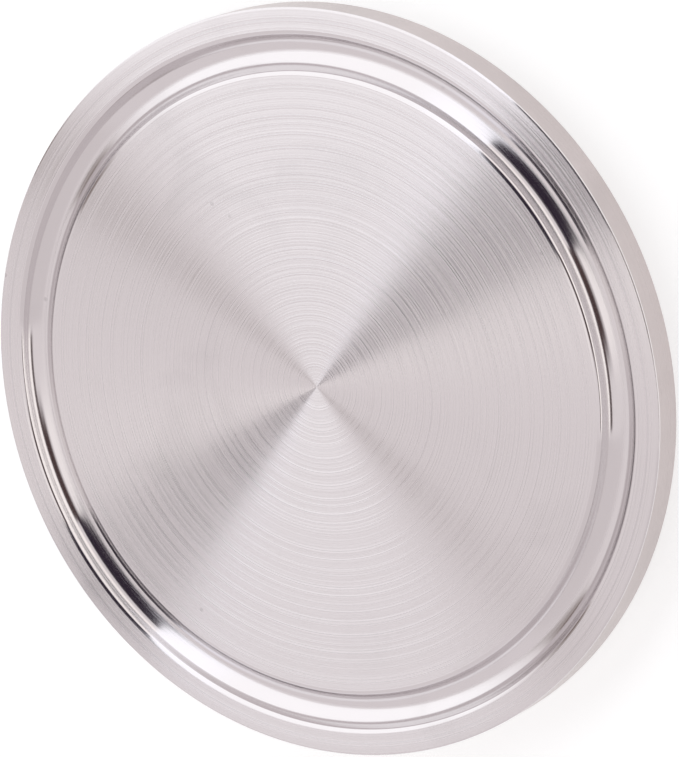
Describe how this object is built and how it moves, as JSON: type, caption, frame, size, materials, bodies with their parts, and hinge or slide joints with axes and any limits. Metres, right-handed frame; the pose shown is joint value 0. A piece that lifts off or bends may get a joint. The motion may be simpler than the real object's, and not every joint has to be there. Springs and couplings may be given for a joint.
{
  "type": "sanitary clamp end cap",
  "caption": "Solid round end cap for a clamped sanitary tube ferrule: flat sealing face with a gasket groove, straight rim wall and a clamp taper behind it.",
  "frame": {"origin": "centre of the flat back, on the turning axis, at the surface the cap lies on", "axes": "+Z along the turning axis, out of the sealing face; X and Y are free, because the cap is round"},
  "size_m": [0.064, 0.064, 0.0063],
  "materials": {
    "turned_stainless": "bright turned stainless steel with fine concentric tool lines"
  },
  "bodies": {
    "root": {"end_cap": "turned_stainless"}
  },
  "joints": []
}
